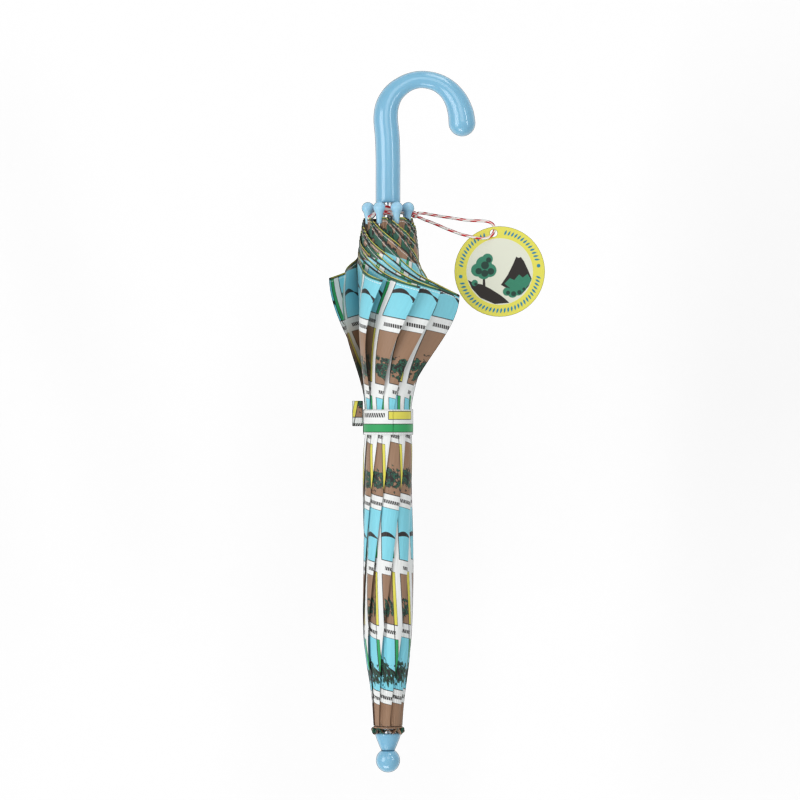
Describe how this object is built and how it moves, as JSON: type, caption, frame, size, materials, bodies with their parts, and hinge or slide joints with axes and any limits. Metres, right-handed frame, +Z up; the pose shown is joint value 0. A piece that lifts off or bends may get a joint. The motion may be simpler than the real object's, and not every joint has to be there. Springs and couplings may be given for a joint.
{
  "type": "children's umbrella",
  "caption": "Child's stick umbrella, furled and strapped, with a crook handle, hinged ribs and stretchers, a sliding runner, spring catches, a folded canopy and a swing tag on twine.",
  "frame": {"origin": "on the floor under the shaft, at the middle of the closing strap, with the umbrella lying on its side", "axes": "+Y runs along the shaft from the crown to the handle, +Z is up, and the crook opens towards +X"},
  "size_m": [0.178, 0.5746, 0.0624],
  "materials": {
    "steel": "nickel-plated steel wire and tube",
    "handle_plastic": "glossy sky-blue moulded plastic",
    "tip_plastic": "satin pale-blue moulded plastic",
    "canopy_cloth": "printed polyester canopy cloth in turquoise, tan, white, green and yellow panels",
    "strap_webbing": "printed polyester strap, white with yellow and green blocks",
    "twine": "red and white cotton baker's twine",
    "tag_card": "laminated card, yellow rim round a cream face"
  },
  "bodies": {
    "frame": {"shaft": "steel", "handle": "handle_plastic", "top_notch": "steel", "notch_wire": "steel", "crown_patch": "canopy_cloth", "crown_rosette": "canopy_cloth", "ferrule": "handle_plastic", "twine_knot": "twine"},
    "runner": {"runner": "tip_plastic", "runner_wire": "steel"},
    "top_catch": {"top_catch": "steel"},
    "bottom_catch": {"bottom_catch": "steel"},
    "rib_1": {"rib_1": "steel", "rib_tip_1": "tip_plastic"},
    "rib_2": {"rib_2": "steel", "rib_tip_2": "tip_plastic"},
    "rib_3": {"rib_3": "steel", "rib_tip_3": "tip_plastic"},
    "rib_4": {"rib_4": "steel", "rib_tip_4": "tip_plastic"},
    "rib_5": {"rib_5": "steel", "rib_tip_5": "tip_plastic"},
    "rib_6": {"rib_6": "steel", "rib_tip_6": "tip_plastic"},
    "rib_7": {"rib_7": "steel", "rib_tip_7": "tip_plastic"},
    "rib_8": {"rib_8": "steel", "rib_tip_8": "tip_plastic"},
    "stretcher_1": {"stretcher_1": "steel"},
    "stretcher_2": {"stretcher_2": "steel"},
    "stretcher_3": {"stretcher_3": "steel"},
    "stretcher_4": {"stretcher_4": "steel"},
    "stretcher_5": {"stretcher_5": "steel"},
    "stretcher_6": {"stretcher_6": "steel"},
    "stretcher_7": {"stretcher_7": "steel"},
    "stretcher_8": {"stretcher_8": "steel"},
    "gore_1_outer": {"gore_1_outer": "canopy_cloth", "strap_sewn": "strap_webbing"},
    "gore_1_inner": {"gore_1_inner": "canopy_cloth"},
    "gore_2_outer": {"gore_2_outer": "canopy_cloth"},
    "gore_2_inner": {"gore_2_inner": "canopy_cloth"},
    "gore_3_outer": {"gore_3_outer": "canopy_cloth"},
    "gore_3_inner": {"gore_3_inner": "canopy_cloth"},
    "gore_4_outer": {"gore_4_outer": "canopy_cloth"},
    "gore_4_inner": {"gore_4_inner": "canopy_cloth"},
    "gore_5_outer": {"gore_5_outer": "canopy_cloth"},
    "gore_5_inner": {"gore_5_inner": "canopy_cloth"},
    "gore_6_outer": {"gore_6_outer": "canopy_cloth"},
    "gore_6_inner": {"gore_6_inner": "canopy_cloth"},
    "gore_7_outer": {"gore_7_outer": "canopy_cloth"},
    "gore_7_inner": {"gore_7_inner": "canopy_cloth"},
    "gore_8_outer": {"gore_8_outer": "canopy_cloth"},
    "gore_8_inner": {"gore_8_inner": "canopy_cloth"},
    "strap_under": {"strap_under": "strap_webbing"},
    "strap_side": {"strap_side": "strap_webbing"},
    "strap_over": {"strap_over": "strap_webbing", "strap_tab": "strap_webbing"},
    "twine": {"twine": "twine"},
    "tag": {"tag": "tag_card"}
  },
  "joints": [
    {"name": "runner_slide", "type": "slide", "parent": "frame", "child": "runner", "axis": [0, -1, 0], "range_m": [0, 0.2422], "deforming": ["gore_1_outer", "gore_1_inner", "gore_2_outer", "gore_2_inner", "gore_3_outer", "gore_3_inner", "gore_4_outer", "gore_4_inner", "gore_5_outer", "gore_5_inner", "gore_6_outer", "gore_6_inner", "gore_7_outer", "gore_7_inner", "gore_8_outer", "gore_8_inner", "strap_sewn", "strap_under", "strap_side", "strap_over", "strap_tab"]},
    {"name": "rib_hinge_1", "type": "hinge", "parent": "frame", "child": "rib_1", "pos_m": [0.00684, -0.246, 0.02263], "axis": [0.3827, 0, -0.9239], "range_deg": [0, 75.01]},
    {"name": "rib_hinge_2", "type": "hinge", "parent": "frame", "child": "rib_2", "pos_m": [0.00283, -0.246, 0.02664], "axis": [0.9239, 0, -0.3827], "range_deg": [0, 75.01]},
    {"name": "rib_hinge_3", "type": "hinge", "parent": "frame", "child": "rib_3", "pos_m": [-0.00283, -0.246, 0.02664], "axis": [0.9239, 0, 0.3827], "range_deg": [0, 75.01]},
    {"name": "rib_hinge_4", "type": "hinge", "parent": "frame", "child": "rib_4", "pos_m": [-0.00684, -0.246, 0.02263], "axis": [0.3827, 0, 0.9239], "range_deg": [0, 75.01]},
    {"name": "rib_hinge_5", "type": "hinge", "parent": "frame", "child": "rib_5", "pos_m": [-0.00684, -0.246, 0.01697], "axis": [-0.3827, 0, 0.9239], "range_deg": [0, 75.01]},
    {"name": "rib_hinge_6", "type": "hinge", "parent": "frame", "child": "rib_6", "pos_m": [-0.00283, -0.246, 0.01296], "axis": [-0.9239, 0, 0.3827], "range_deg": [0, 75.01]},
    {"name": "rib_hinge_7", "type": "hinge", "parent": "frame", "child": "rib_7", "pos_m": [0.00283, -0.246, 0.01296], "axis": [-0.9239, 0, -0.3827], "range_deg": [0, 75.01]},
    {"name": "rib_hinge_8", "type": "hinge", "parent": "frame", "child": "rib_8", "pos_m": [0.00684, -0.246, 0.01697], "axis": [-0.3827, 0, -0.9239], "range_deg": [0, 75.01]},
    {"name": "stretcher_pivot_1", "type": "hinge", "parent": "rib_1", "child": "stretcher_1", "pos_m": [0.00767, -0.066, 0.02298], "axis": [-0.3827, 0, 0.9239], "range_deg": [0, 138.12]},
    {"name": "stretcher_pivot_2", "type": "hinge", "parent": "rib_2", "child": "stretcher_2", "pos_m": [0.00318, -0.066, 0.02747], "axis": [-0.9239, 0, 0.3827], "range_deg": [0, 138.12]},
    {"name": "stretcher_pivot_3", "type": "hinge", "parent": "rib_3", "child": "stretcher_3", "pos_m": [-0.00318, -0.066, 0.02747], "axis": [-0.9239, 0, -0.3827], "range_deg": [0, 138.12]},
    {"name": "stretcher_pivot_4", "type": "hinge", "parent": "rib_4", "child": "stretcher_4", "pos_m": [-0.00767, -0.066, 0.02298], "axis": [-0.3827, 0, -0.9239], "range_deg": [0, 138.12]},
    {"name": "stretcher_pivot_5", "type": "hinge", "parent": "rib_5", "child": "stretcher_5", "pos_m": [-0.00767, -0.066, 0.01662], "axis": [0.3827, 0, -0.9239], "range_deg": [0, 138.12]},
    {"name": "stretcher_pivot_6", "type": "hinge", "parent": "rib_6", "child": "stretcher_6", "pos_m": [-0.00318, -0.066, 0.01213], "axis": [0.9239, 0, -0.3827], "range_deg": [0, 138.12]},
    {"name": "stretcher_pivot_7", "type": "hinge", "parent": "rib_7", "child": "stretcher_7", "pos_m": [0.00318, -0.066, 0.01213], "axis": [0.9239, 0, 0.3827], "range_deg": [0, 138.12]},
    {"name": "stretcher_pivot_8", "type": "hinge", "parent": "rib_8", "child": "stretcher_8", "pos_m": [0.00767, -0.066, 0.01662], "axis": [0.3827, 0, 0.9239], "range_deg": [0, 138.12]},
    {"name": "gore_fold_1_outer", "type": "hinge", "parent": "rib_1", "child": "gore_1_outer", "pos_m": [0.00801, -0.246, 0.0198], "axis": [-0.7254, -0.6086, -0.3216], "range_deg": [0, 28.5]},
    {"name": "gore_fold_1_inner", "type": "hinge", "parent": "rib_8", "child": "gore_1_inner", "pos_m": [0.00801, -0.246, 0.0198], "axis": [0.7254, 0.6086, -0.3216], "range_deg": [0, 28.5]},
    {"name": "gore_fold_2_outer", "type": "hinge", "parent": "rib_2", "child": "gore_2_outer", "pos_m": [0.00566, -0.246, 0.02546], "axis": [-0.2855, -0.6086, -0.7403], "range_deg": [0, 28.5]},
    {"name": "gore_fold_2_inner", "type": "hinge", "parent": "rib_1", "child": "gore_2_inner", "pos_m": [0.00566, -0.246, 0.02546], "axis": [0.7403, 0.6086, 0.2855], "range_deg": [0, 28.5]},
    {"name": "gore_fold_3_outer", "type": "hinge", "parent": "rib_3", "child": "gore_3_outer", "pos_m": [0, -0.246, 0.02781], "axis": [0.3216, -0.6086, -0.7254], "range_deg": [0, 28.5]},
    {"name": "gore_fold_3_inner", "type": "hinge", "parent": "rib_2", "child": "gore_3_inner", "pos_m": [0, -0.246, 0.02781], "axis": [0.3216, 0.6086, 0.7254], "range_deg": [0, 28.5]},
    {"name": "gore_fold_4_outer", "type": "hinge", "parent": "rib_4", "child": "gore_4_outer", "pos_m": [-0.00566, -0.246, 0.02546], "axis": [0.7403, -0.6086, -0.2855], "range_deg": [0, 28.5]},
    {"name": "gore_fold_4_inner", "type": "hinge", "parent": "rib_3", "child": "gore_4_inner", "pos_m": [-0.00566, -0.246, 0.02546], "axis": [-0.2855, 0.6086, 0.7403], "range_deg": [0, 28.5]},
    {"name": "gore_fold_5_outer", "type": "hinge", "parent": "rib_5", "child": "gore_5_outer", "pos_m": [-0.00801, -0.246, 0.0198], "axis": [0.7254, -0.6086, 0.3216], "range_deg": [0, 28.5]},
    {"name": "gore_fold_5_inner", "type": "hinge", "parent": "rib_4", "child": "gore_5_inner", "pos_m": [-0.00801, -0.246, 0.0198], "axis": [-0.7254, 0.6086, 0.3216], "range_deg": [0, 28.5]},
    {"name": "gore_fold_6_outer", "type": "hinge", "parent": "rib_6", "child": "gore_6_outer", "pos_m": [-0.00566, -0.246, 0.01414], "axis": [0.2855, -0.6086, 0.7403], "range_deg": [0, 28.5]},
    {"name": "gore_fold_6_inner", "type": "hinge", "parent": "rib_5", "child": "gore_6_inner", "pos_m": [-0.00566, -0.246, 0.01414], "axis": [-0.7403, 0.6086, -0.2855], "range_deg": [0, 28.5]},
    {"name": "gore_fold_7_outer", "type": "hinge", "parent": "rib_7", "child": "gore_7_outer", "pos_m": [0, -0.246, 0.01179], "axis": [-0.3216, -0.6086, 0.7254], "range_deg": [0, 28.5]},
    {"name": "gore_fold_7_inner", "type": "hinge", "parent": "rib_6", "child": "gore_7_inner", "pos_m": [0, -0.246, 0.01179], "axis": [-0.3216, 0.6086, -0.7254], "range_deg": [0, 28.5]},
    {"name": "gore_fold_8_outer", "type": "hinge", "parent": "rib_8", "child": "gore_8_outer", "pos_m": [0.00566, -0.246, 0.01414], "axis": [-0.7403, -0.6086, 0.2855], "range_deg": [0, 28.5]},
    {"name": "gore_fold_8_inner", "type": "hinge", "parent": "rib_7", "child": "gore_8_inner", "pos_m": [0.00566, -0.246, 0.01414], "axis": [0.2855, 0.6086, -0.7403], "range_deg": [0, 28.5]},
    {"name": "strap_under_fold", "type": "hinge", "parent": "gore_1_outer", "child": "strap_under", "pos_m": [-0.01279, 0, 0.00429], "axis": [0, 1, 0], "range_deg": [0, 80.01]},
    {"name": "strap_side_fold", "type": "hinge", "parent": "strap_under", "child": "strap_side", "pos_m": [0.01946, 0, 0.01477], "axis": [0, 1, 0], "range_deg": [0, 80.01]},
    {"name": "strap_over_fold", "type": "hinge", "parent": "strap_side", "child": "strap_over", "pos_m": [0.00435, 0, 0.03942], "axis": [0, 1, 0], "range_deg": [0, 80.01]},
    {"name": "top_catch_press", "type": "slide", "parent": "frame", "child": "top_catch", "axis": [-0.4695, 0, -0.8829], "range_m": [0, 0.0013], "stiffness_N_per_m": 400},
    {"name": "bottom_catch_press", "type": "slide", "parent": "frame", "child": "bottom_catch", "axis": [-0.4695, 0, -0.8829], "range_m": [0, 0.0013], "stiffness_N_per_m": 400},
    {"name": "tag_swing", "type": "hinge", "parent": "frame", "child": "twine", "pos_m": [0.0212, 0.17, 0.0198], "axis": [0, -1, 0], "range_deg": [0, 80]},
    {"name": "tag_turn", "type": "hinge", "parent": "twine", "child": "tag", "pos_m": [0.087, 0.1556, 0.0028], "axis": [0, 0, 1], "range_deg": [0, 35]}
  ],
  "couplings": [
    {"joint": "rib_hinge_1", "follows": "runner_slide", "rad_per_m": 5.4046},
    {"joint": "rib_hinge_2", "follows": "runner_slide", "rad_per_m": 5.4046},
    {"joint": "rib_hinge_3", "follows": "runner_slide", "rad_per_m": 5.4046},
    {"joint": "rib_hinge_4", "follows": "runner_slide", "rad_per_m": 5.4046},
    {"joint": "rib_hinge_5", "follows": "runner_slide", "rad_per_m": 5.4046},
    {"joint": "rib_hinge_6", "follows": "runner_slide", "rad_per_m": 5.4046},
    {"joint": "rib_hinge_7", "follows": "runner_slide", "rad_per_m": 5.4046},
    {"joint": "rib_hinge_8", "follows": "runner_slide", "rad_per_m": 5.4046},
    {"joint": "stretcher_pivot_1", "follows": "runner_slide", "rad_per_m": 9.9522},
    {"joint": "stretcher_pivot_2", "follows": "runner_slide", "rad_per_m": 9.9522},
    {"joint": "stretcher_pivot_3", "follows": "runner_slide", "rad_per_m": 9.9522},
    {"joint": "stretcher_pivot_4", "follows": "runner_slide", "rad_per_m": 9.9522},
    {"joint": "stretcher_pivot_5", "follows": "runner_slide", "rad_per_m": 9.9522},
    {"joint": "stretcher_pivot_6", "follows": "runner_slide", "rad_per_m": 9.9522},
    {"joint": "stretcher_pivot_7", "follows": "runner_slide", "rad_per_m": 9.9522},
    {"joint": "stretcher_pivot_8", "follows": "runner_slide", "rad_per_m": 9.9522},
    {"joint": "gore_fold_1_outer", "follows": "runner_slide", "rad_per_m": 2.0527},
    {"joint": "gore_fold_1_inner", "follows": "runner_slide", "rad_per_m": 2.0527},
    {"joint": "gore_fold_2_outer", "follows": "runner_slide", "rad_per_m": 2.0527},
    {"joint": "gore_fold_2_inner", "follows": "runner_slide", "rad_per_m": 2.0527},
    {"joint": "gore_fold_3_outer", "follows": "runner_slide", "rad_per_m": 2.0527},
    {"joint": "gore_fold_3_inner", "follows": "runner_slide", "rad_per_m": 2.0527},
    {"joint": "gore_fold_4_outer", "follows": "runner_slide", "rad_per_m": 2.0527},
    {"joint": "gore_fold_4_inner", "follows": "runner_slide", "rad_per_m": 2.0527},
    {"joint": "gore_fold_5_outer", "follows": "runner_slide", "rad_per_m": 2.0527},
    {"joint": "gore_fold_5_inner", "follows": "runner_slide", "rad_per_m": 2.0527},
    {"joint": "gore_fold_6_outer", "follows": "runner_slide", "rad_per_m": 2.0527},
    {"joint": "gore_fold_6_inner", "follows": "runner_slide", "rad_per_m": 2.0527},
    {"joint": "gore_fold_7_outer", "follows": "runner_slide", "rad_per_m": 2.0527},
    {"joint": "gore_fold_7_inner", "follows": "runner_slide", "rad_per_m": 2.0527},
    {"joint": "gore_fold_8_outer", "follows": "runner_slide", "rad_per_m": 2.0527},
    {"joint": "gore_fold_8_inner", "follows": "runner_slide", "rad_per_m": 2.0527},
    {"joint": "strap_under_fold", "follows": "runner_slide", "rad_per_m": 5.7649},
    {"joint": "strap_side_fold", "follows": "runner_slide", "rad_per_m": 5.7649},
    {"joint": "strap_over_fold", "follows": "runner_slide", "rad_per_m": 5.7649}
  ]
}
